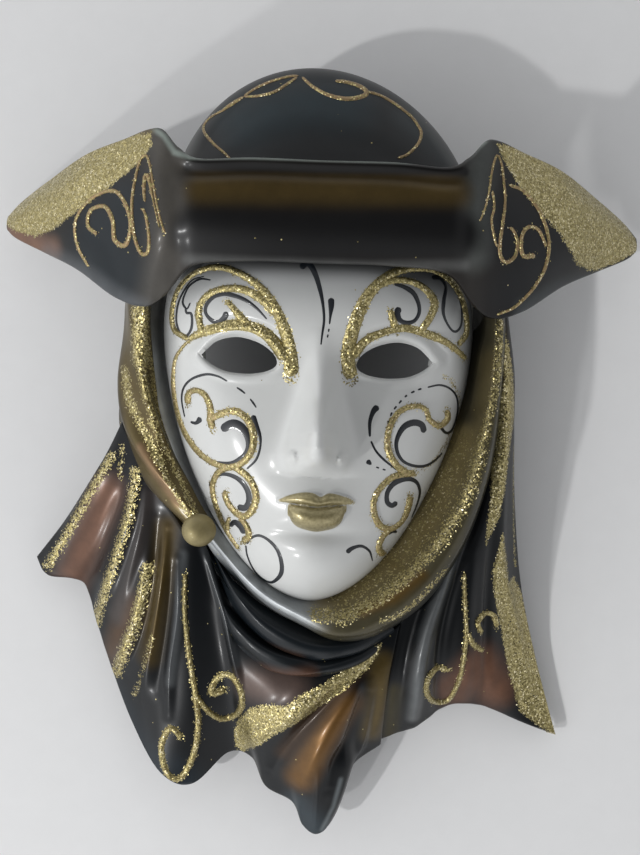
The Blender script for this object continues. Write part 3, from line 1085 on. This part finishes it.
drapes = {
    "wall": 3.4, "underGlue": 0.45, "spill": 0.6, "areaEdge": 0.7,
    "left": {
        "rows": [
            [(-75, -123, 28), (-73, -127, 29), (-66, -140, 32), (-60, -149, 33), (-54, -157, 34),
             (-49, -164, 35), (-45, -169, 35), (-40, -171, 34)],
            [(-84, -141, 23), (-82, -147, 25), (-76, -158, 27), (-69, -172, 28), (-62, -185, 29),
             (-54, -194, 31), (-46, -197, 32), (-37.5, -195, 32)],
            [(-97, -161, 13), (-94, -167, 16), (-85, -176, 19), (-77, -196, 20), (-67, -217, 21),
             (-57, -232, 22), (-46, -235, 24), (-33, -226, 25)],
            [(-112.5, -181, 5), (-107, -188.5, 6), (-91.5, -192, 9), (-82, -218, 8), (-70, -246, 10),
             (-57, -265.5, 14), (-44, -269.5, 13), (-30.5, -257.6, 9)],
        ],
        "steps": (440, 102),
    },
    "centre": {
        "rows": [
            [(-39, -173, 31), (-34, -186, 32), (-26, -197, 33), (-15, -206, 34), (-3, -210, 35),
             (8, -211, 35), (18, -208, 35), (27, -204, 34), (36, -198, 33)],
            [(-36.5, -197, 31), (-29, -210, 32), (-21, -220, 32), (-11, -227, 33), (-1, -231, 34),
             (9, -232, 34), (17, -229, 34), (25, -223, 33), (32.8, -217, 32)],
            [(-32, -227, 25), (-25, -236, 24), (-18, -247, 23), (-8, -253, 24), (1, -259, 25),
             (9, -261, 26), (16, -254, 25), (22, -241, 23), (31.8, -234, 23)],
            [(-29.5, -257.6, 9), (-21, -259, 9), (-15, -269.5, 12), (-4, -275.5, 12), (0.5, -284.5, 13),
             (7, -287.4, 14), (13.8, -278.5, 12), (19, -262, 9), (31.6, -251.4, 9.5)],
        ],
    },
    "right": {
        "rows": [
            [(65, -77, 30), (67, -77, 32), (69, -77, 33), (71, -77, 33), (72.5, -77, 32), (73.5, -77, 29)],
            [(64, -104, 31), (67, -104, 33), (70, -103, 35), (73, -102, 34), (76, -101, 30),
             (77.5, -100, 25)],
            [(60.5, -130, 32), (65, -130, 34), (69, -129, 34.5), (73, -127, 33), (77, -125, 28),
             (79, -123, 20)],
            [(52, -160, 33), (58, -161, 34), (65, -160, 34), (71, -158, 31), (77, -155, 24),
             (81.5, -152, 14)],
            [(35, -191, 31.5), (46, -194, 34), (57, -194, 32), (67, -192, 28), (77, -188, 20),
             (86, -184, 9)],
            [(28.6, -222, 28), (41.5, -221, 30.5), (55, -217, 26), (68, -216, 22), (81, -216, 14),
             (93.5, -214, 6)],
            [(28.4, -251.6, 6.5), (45, -243.5, 11), (58.5, -235, 9), (72, -235.5, 7), (89, -241.8, 7),
             (103, -246.3, 5)],
        ],
        "steps": (190, 230),
    },
}

leftScrollLines = [
    ((1.6, 2.2, 2.4, 2.6), [(-47.8, -182), (-47.6, -198), (-45.7, -214), (-43.1, -230.5), (-42, -243),
     (-43.8, -256), (-49, -266), (-54.5, -263.8), (-56.7, -253), (-53, -245), (-48.4, -248.5)]),
    ((2.2, 2.4, 2.4, 2.8), [(-43.5, -229.7), (-40.2, -234.5), (-37, -238.5), (-32.9, -240.9),
     (-28.2, -239.5), (-25.1, -234.8), (-24.9, -229), (-27, -223.7), (-30.6, -221.4), (-34.5, -223.2),
     (-36.8, -227.4), (-36.3, -229.8), (-31.6, -228)]),
]
rightScrollLines = [
    ((1.4, 1.8, 2, 2.4), [(59.3, -177.8), (60.3, -191.1), (61.4, -201.5), (61.1, -212.3), (60.1, -223),
     (57.4, -231.3), (51.8, -232), (47.6, -226.8), (47.1, -220.6), (50.4, -216.2), (55.3, -216.8)]),
    ((1.8, 2, 1.6), [(62, -201.4), (64.4, -206.2), (69.1, -209.6)]),
    ((1.6, 2, 2.2), [(67.9, -202.1), (66, -197.7), (68.8, -194.7), (72.9, -195.5), (74.6, -200.3)]),
]

# folds: height, half width and path; a negative height is a valley
frontFolds = [
    (1.6, 3.2, [(-79.8, -139.9), (-92.1, -160.1), (-107.2, -184.5)]),
    (2.2, 3.4, [(-68.5, -142.9), (-69.8, -160.3), (-76.9, -182.1), (-85.5, -205.2)]),
    (1.2, 2, [(-63.6, -147.6), (-65.3, -165.2), (-73.8, -196.1)]),
    (2, 2.8, [(-62.2, -179.4), (-67.1, -202.8), (-76.1, -222.5)]),
    (1.3, 2.2, [(-56.2, -164.7), (-57.5, -191.2), (-62.6, -220.7), (-65.5, -234.4)]),
    (1.3, 1.8, [(-50.7, -176.7), (-50.2, -197.7), (-53.1, -219.6), (-53.8, -240)]),
    (-1.6, 3, [(-73, -150), (-84, -176), (-95, -196)]),
    (-1.6, 2.6, [(-59, -160), (-62, -190), (-70, -224)]),
    (-1.2, 2.2, [(-53.5, -180), (-55.5, -205), (-59, -232)]),
    (1.5, 1.3, [(-41, -172), (-36.9, -183.5), (-31.5, -199.5), (-27.4, -216.7), (-25, -226)]),
    (2.4, 5, [(29, -206), (14, -218.5), (0, -230), (-12, -240), (-22, -250)]),
    (-2.6, 3, [(27, -211.4), (8, -230), (-6.5, -249.1), (-13.2, -262)]),
    (2.6, 4.4, [(24.5, -216.2), (13.5, -233.7), (4.6, -252.9), (0, -268)]),
    (-2.2, 2.2, [(22.6, -219), (21, -229.9), (17.6, -244.8), (12.4, -254.8), (10.4, -266)]),
    (2.2, 2.2, [(25.4, -223.7), (22.5, -247.2), (17.4, -257), (13.5, -272), (9, -284.5)]),
    (1, 2.6, [(30, -216), (29.5, -232), (27.5, -249)]),
    (1, 1.2, [(6.6, -256.7), (6.2, -270.2), (5.6, -283.4)]),
]
rightFolds = [
    (2.8, 2.4, [(63, -133), (59.8, -150.1), (56.6, -165.9), (51.2, -182.8), (45.8, -200.9), (43.5, -217.3),
     (43.4, -242)]),
    (1.4, 2.6, [(74, -100), (73.5, -130), (73, -150), (75, -175), (84, -205), (93, -236)]),
    (-1.6, 2.2, [(71, -110), (67, -140), (62, -160), (55, -178)]),
    (-1.8, 2.2, [(58, -172), (54, -192), (52, -210), (53, -236)]),
    (-1.6, 2.4, [(47, -180), (40, -200), (37, -220), (37, -246)]),
    (1.3, 2.6, [(63, -170), (62, -195), (64, -234)]),
    (-1.3, 2, [(70, -160), (70, -190), (72, -234)]),
]
leafArea = [(28.6, -205.8), (22.1, -209.9), (14.7, -215.7), (6.2, -222.1), (-2.1, -226.5), (-7.7, -231.6),
    (-16.6, -232), (-22.2, -235), (-26.7, -241.4), (-28.1, -248), (-27.7, -254.3), (-24.4, -256.2),
    (-18.8, -251.1), (-11.3, -244), (-1.7, -237.2), (6.5, -230.7), (15.1, -224.1), (22.5, -217),
    (27.3, -210.6)]
tailArea = [(74.4, -162.5), (72.8, -170.4), (71.2, -178.2), (72.4, -186.2), (75.4, -197.2), (78.7, -209.9),
    (81.6, -221.1), (85.2, -231.2), (87, -236), (93, -240.5), (104, -248), (103, -238.4), (96.1, -216.7),
    (89.3, -199.2), (85.8, -188.1), (81.5, -180.5), (78.6, -183), (77.4, -173.6)]
sleeveArea = [(70.2, -80.7), (74, -91.6), (76.2, -103), (77.6, -115.8), (76, -126.2), (75, -134),
    (74.2, -144.3), (72.5, -156), (67.4, -167.4), (67.5, -159.8), (68.4, -149.5), (68.3, -139.2),
    (67.7, -127.7), (69.3, -115), (72.1, -103.4), (70.6, -92)]


def makeDrape(name, rows, steps, folds, paint, areas, lines, slot, *nodes):
    def relief(u, v, points):
        return ridgeRelief(folds, points[..., 0], points[..., 2])
    points, u, v = shapedSheet(name, netSurface(rows), steps, relief)
    x, z = points[..., 0], points[..., 2]
    piece = gridObject(name, points)
    cover = drapes["underGlue"] * lineCover(lines, x, z, drapes["spill"])
    for strength, outline in areas:
        cover = np.maximum(cover, strength * areaCover(outline, x, z, drapes["areaEdge"]))
    paintSheet(piece, points, *paint, cover)
    castWall(piece, drapes["wall"], drapeGlaze, darkInside)
    claim(piece, slot, *nodes)
    return piece


frontRows = [left + centre[1:] for left, centre in zip(drapes["left"]["rows"], drapes["centre"]["rows"])]
frontDrape = makeDrape("painted_drape_front", frontRows, drapes["left"]["steps"], frontFolds,
    (("#080b0e", 0.1), [
        ("#5f4232", 0.35, 0.9, 6, 6, [(-80, -152), (-90, -175), (-98, -192)]),
        ("#54402f", 0.4, 0.85, 4.5, 4.5, [(-69, -196), (-76, -212), (-84, -226)]),
        ("#3f3a38", 0.2, 0.8, 3, 3.5, [(-62, -152), (-69, -180), (-76, -202)]),
        ("#453716", 0.5, 0.9, 4, 4, [(-55.9, -165), (-58, -190), (-62, -216)]),
        ("#55585a", 0.2, 0.7, 1.4, 1.8, [(-48.8, -174.7), (-50.1, -200), (-53, -226)]),
        ("#3a3d3f", 0.2, 0.8, 1.2, 1.6, [(-41, -172), (-36.9, -183.5), (-31.5, -199.5), (-26.4, -216.7)]),
        ("#1b242b", 0.1, 0.8, 6, 6, [(-100, -196), (-84, -226), (-66, -256), (-46, -266)]),
        ("#4d3f39", 0.3, 0.9, 7, 5, [(-20, -224), (-6, -224)]),
        ("#6c4d26", 0.5, 0.85, 5, 4.5, [(16, -230), (6.4, -247), (-1, -262)]),
        ("#564724", 0.5, 0.9, 4, 4, [(29, -214), (28.9, -228), (26.9, -243.5)]),
        ("#3b2a1a", 0.3, 0.8, 3, 3, [(20, -216), (4, -233), (-8, -252)]),
        ("#2a343a", 0.15, 0.85, 6, 5, [(-2, -276), (6, -284)]),
        ("#6f7577", 0.3, 0.7, 0.8, 0.9, [(15, -262), (12.6, -274), (8.4, -284.5)]),
    ], [
        (0.8, 1.7, 1.6, [(-78.8, -138), (-89.9, -156.9), (-98.7, -171.7), (-106.5, -184)]),
        (0.85, 2.0, 1.6, [(-68.6, -143.9), (-70.8, -160.3), (-77.5, -182.1), (-86, -206)]),
        (0.5, 1.0, 1.0, [(-74.6, -133.6), (-74.9, -145.7)]),
        (0.85, 2.3, 1.6, [(-62.6, -181), (-67.5, -201.9), (-76.5, -225.3)]),
        (0.5, 0.8, 1.0, [(-60.6, -207.9), (-64.2, -220.6), (-68.5, -233.6)]),
    ]), [(0.99, leafArea)], leftScrollLines, "black_glaze", "drape_left", "drape_centre")

rightDrape = makeDrape("painted_drape_right", drapes["right"]["rows"], drapes["right"]["steps"], rightFolds,
    (("#0f1113", 0.1), [
        ("#634331", 0.45, 0.9, 8, 6, [(60, -226), (68.4, -216), (76, -226)]),
        ("#3a2f18", 0.45, 0.8, 3, 3, [(70, -84), (72, -110), (71, -140)]),
        ("#6d7071", 0.2, 0.75, 1.8, 2.4, [(59.8, -152), (56, -166), (51.2, -182.8), (45.8, -200.9),
                                          (43.5, -217.3), (43, -238)]),
        ("#3a3317", 0.4, 0.8, 3, 3, [(34, -226), (34, -246)]),
    ], [
        (0.6, 0.5, 0.6, [(78.5, -128.8), (79.5, -144.5), (80.5, -160.5), (82.2, -176.6)]),
    ]), [(0.99, tailArea), (0.95, sleeveArea)], rightScrollLines, "black_glaze", "drape_right")
print("drapes ready")

# raised glitter lines and brush strokes

bead = {"lift": 0.05, "gap": 0.7, "jitter": 0.05, "across": 6, "lustre": 0.3}
# colour of the glue, share of flakes and height of each kind of line
lineLooks = {
    "brow": ("#8d8056", 0.86, 0.85), "cheek": ("#a08d66", 0.7, 0.75), "wing": ("#937c5a", 0.4, 0.6),
    "crown": ("#8a7556", 0.3, 0.5), "drape": ("#7d6e45", 0.82, 1.0),
}
stroke = {"rise": 0.14, "lift": 0.03, "gap": 0.36, "across": 4, "follow": 0.4, "dashPitch": 1.6,
          "dashShare": 0.66}
quickGap = 1.6


def laidStrip(name, find, path, widths, gap, lift, rise, across, jitter):
    # a low domed strip along a path on the front of a finished piece
    even = evenSpline(path, gap * (1 if fine == 1 else quickGap))
    tangent = np.gradient(even, axis=0)
    tangent /= np.maximum(np.linalg.norm(tangent, axis=1, keepdims=True), 1e-9)
    side = np.stack([-tangent[:, 1], tangent[:, 0]], 1)
    t = np.linspace(0, 1, len(even))
    half = 0.5 * np.interp(t, np.linspace(0, 1, len(widths)), widths)
    reach = np.minimum(t, 1 - t) * len(even) * gap
    half *= np.sqrt(np.clip(1 - np.clip(1 - reach / np.maximum(half, 0.2), 0, 1)**2, 0.02, 1))
    rows = []
    for k, centre in enumerate(even):
        row = []
        for s in np.linspace(-1, 1, across + 1):
            off = half[k] * s + (noise.uniform(-jitter, jitter) if jitter else 0)
            hit = find(*(centre + side[k] * off))
            if hit is None:
                return None
            place, normal = hit
            dome = max(0.0, 1 - s * s)**0.5
            height = lift + rise * dome * min(1.0, half[k] / 0.8)
            if jitter:
                height += noise.uniform(-jitter, jitter) * dome
            row.append(place + normal * height)
        rows.append(row)
    points = np.array(rows).transpose(1, 0, 2)
    if facing(points)[..., 1].mean() > 0:
        points = points[::-1]
    return gridObject(name, points)


def joinPieces(name, pieces):
    deselectAll()
    for piece in pieces:
        piece.select_set(True)
    bpy.context.view_layer.objects.active = pieces[0]
    if len(pieces) > 1:
        bpy.ops.object.join()
    joined = bpy.context.object
    joined.name = name
    joined.data.name = name
    bpy.ops.object.shade_smooth()
    return joined


def glitterLines(name, lines, look, host, *nodes):
    find = frontOf(host)
    glue, share, rise = look
    parts = []
    for widths, path in lines:
        strip = laidStrip(name, find, path, widths, bead["gap"], bead["lift"], rise, bead["across"],
                          bead["jitter"])
        if strip is None:
            print("  no seat for a line of", name, path[0])
            continue
        parts.append(strip)
    joined = joinPieces(name, parts)
    joined.data.materials.append(glueGlitter)
    count = len(joined.data.vertices)
    for label, value in (("lustre", bead["lustre"]), ("glitter", share)):
        layer = joined.data.attributes.new(label, "FLOAT", "POINT")
        layer.data.foreach_set("value", np.full(count, value, np.float32))
    layer = joined.data.attributes.new("paint", "FLOAT_COLOR", "POINT")
    layer.data.foreach_set("color", np.tile(np.append(linearColour(glue), 1), count).astype(np.float32))
    claim(joined, "gold_glitter", *nodes)


def dashes(even, dash):
    # the parts of a line that a broken stroke leaves
    walked = np.linspace(0, 1, len(even))
    count = max(1, round(stroke["follow"] * len(even) / (dash * stroke["dashPitch"])))
    for k in range(count):
        on = (walked >= k / count) & (walked <= (k + stroke["dashShare"]) / count)
        if on.sum() > 3:
            yield even[on]


def brushLines(name, lines, host):
    find = frontOf(host)
    parts = []
    for widths, dash, path in lines:
        even = evenSpline(path, stroke["follow"])
        for line in (dashes(even, dash) if dash else [even]):
            strip = laidStrip(name, find, line, widths, stroke["gap"], stroke["lift"], stroke["rise"],
                              stroke["across"], 0)
            if strip:
                parts.append(strip)
    joined = joinPieces(name, parts)
    joined.data.materials.append(brushEnamel)
    claim(joined, "black_glaze")


for part, side, lines, host in (
        ("brow", "left", browLeftLines, paintedFace), ("brow", "right", browRightLines, paintedFace),
        ("cheek", "left", cheekLeftLines, paintedFace), ("cheek", "right", cheekRightLines, paintedFace),
        ("wing", "left", wingLines(-1), paintedBrim), ("wing", "right", wingLines(1), paintedBrim),
        ("drape", "left", leftScrollLines, frontDrape), ("drape", "right", rightScrollLines, rightDrape)):
    glitterLines(f"glitter_{part}_{side}", lines, lineLooks[part], host, f"{part}_scroll_{side}")

crownLines = [
    ((0.9, 1.1, 1.1, 1), [(-33.4, -29), (-35.9, -26.2), (-40.5, -21.9), (-44.4, -16.7), (-45.2, -13),
     (-43.2, -10), (-37.9, -7.9)]),
    ((1, 1.8, 1), [(-39, -8.6), (-34.4, -5.4), (-30.3, -2.8)]),
    ((1, 1.2, 1.1), [(-30.3, -2.5), (-25.7, 1), (-19.6, 4), (-13.7, 5.8), (-10.5, 6)]),
    ((1, 1.2, 1.1), [(-30.3, -2.8), (-25.4, -3.1), (-19.2, -1.6), (-14.6, 1.9), (-11, 5.3)]),
    ((1.1, 1.4, 1.8, 2, 1.4), [(-9.2, 5.4), (-5.3, 1.2), (0.7, -2.4), (8, -3.6), (13.6, -1.8), (14.8, 0.4),
     (12, 2.7), (6.8, 4), (3.1, 4)]),
    ((1.2, 1.2, 1), [(14.1, 0.6), (21.5, -1.2), (30.6, -7.1), (34.3, -11.7), (35.4, -15), (34, -19.6),
     (30.2, -24.2), (26.5, -26.2)]),
]
glitterLines("glitter_crown", crownLines, lineLooks["crown"], paintedCrown)
brushLines("brush_strokes", faceBrushLines, paintedFace)
print("lines ready")

# the web behind the crown stays as cast
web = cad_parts["hanging_web"]
web = web if hasattr(web, "data") else bpy.data.objects["hanging_web"]
web.data.materials.clear()
web.data.materials.append(bareBisque)
